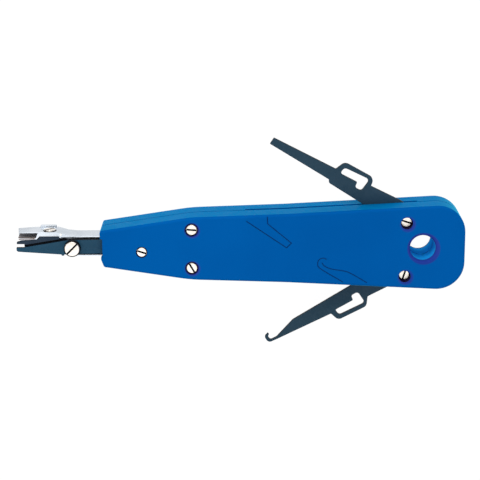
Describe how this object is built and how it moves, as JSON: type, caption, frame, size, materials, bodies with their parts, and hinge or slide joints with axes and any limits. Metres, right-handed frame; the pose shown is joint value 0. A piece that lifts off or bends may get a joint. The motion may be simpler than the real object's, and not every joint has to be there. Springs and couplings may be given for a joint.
{
  "type": "punch down tool",
  "caption": "Flat two-shell hand tool with a spring-loaded scissor head at the nose, a fold-out removal blade and wire hook at the rear, and a hanging hole.",
  "frame": {"origin": "axis of the hanging hole, in the plane of the flat back face", "axes": "+X along the tool from the head to the butt, +Y towards the removal blade's side, +Z out of the front face, along the hanging hole"},
  "size_m": [0.178, 0.0844, 0.019],
  "materials": {
    "housing_blue": "satin blue moulding",
    "blade_black": "black oxide on sheet steel",
    "washer_black": "black oxide",
    "head_bright": "bright satin",
    "guide_brown": "dark bronze, brushed",
    "screw_nickel": "nickel plate",
    "insert_brass": "machined",
    "inner_steel": "turned",
    "spring_steel": "drawn wire"
  },
  "bodies": {
    "housing": {"rear_shell": "housing_blue", "front_shell": "housing_blue", "housing_screw_nose": "screw_nickel", "housing_screw_upper": "screw_nickel", "housing_screw_lower": "screw_nickel", "knife_pivot_screw": "screw_nickel", "hook_pivot_screw": "screw_nickel", "thread_insert_upper": "insert_brass", "thread_insert_lower": "insert_brass", "thread_insert_knife": "insert_brass", "thread_insert_hook": "insert_brass", "barrel_nut_nose": "screw_nickel", "knife_pivot_sleeve": "inner_steel", "hook_pivot_sleeve": "inner_steel", "knife_spring_washer": "spring_steel", "hook_spring_washer": "spring_steel", "cam_pin": "inner_steel", "spring_guide_rod": "inner_steel", "main_spring": "spring_steel"},
    "head": {"slide": "head_bright", "sensor_block": "head_bright", "sensor_screw": "screw_nickel", "wire_guide_plate": "guide_brown", "block_pin": "screw_nickel", "fixed_blade": "blade_black", "pivot_collar": "washer_black", "scissor_pivot_screw": "screw_nickel", "blade_rivet": "inner_steel", "spring_seat": "inner_steel", "scissor_torsion_spring": "spring_steel"},
    "cutter": {"moving_blade": "blade_black"},
    "knife": {"removal_blade": "blade_black"},
    "hook": {"hook_blade": "blade_black"}
  },
  "joints": [
    {"name": "head_stroke", "type": "slide", "parent": "housing", "child": "head", "axis": [1, 0, 0], "range_m": [0, 0.007], "stiffness_N_per_m": 2800, "springref_m": -0.007, "deforming": ["main_spring"]},
    {"name": "cutter_close", "type": "hinge", "parent": "head", "child": "cutter", "pos_m": [-0.139, -0.0005, 0.012], "axis": [0, 0, 1], "range_deg": [0, 5.1]},
    {"name": "removal_blade_fold", "type": "hinge", "parent": "housing", "child": "knife", "pos_m": [-0.0065, 0.0101, 0.00875], "axis": [0, 0, -1], "range_deg": [-30, 55]},
    {"name": "hook_blade_fold", "type": "hinge", "parent": "housing", "child": "hook", "pos_m": [-0.007, -0.0116, 0.00875], "axis": [0, 0, 1], "range_deg": [-30, 60]}
  ],
  "couplings": [
    {"joint": "cutter_close", "follows": "head_stroke", "rad_per_m": 12.5}
  ]
}
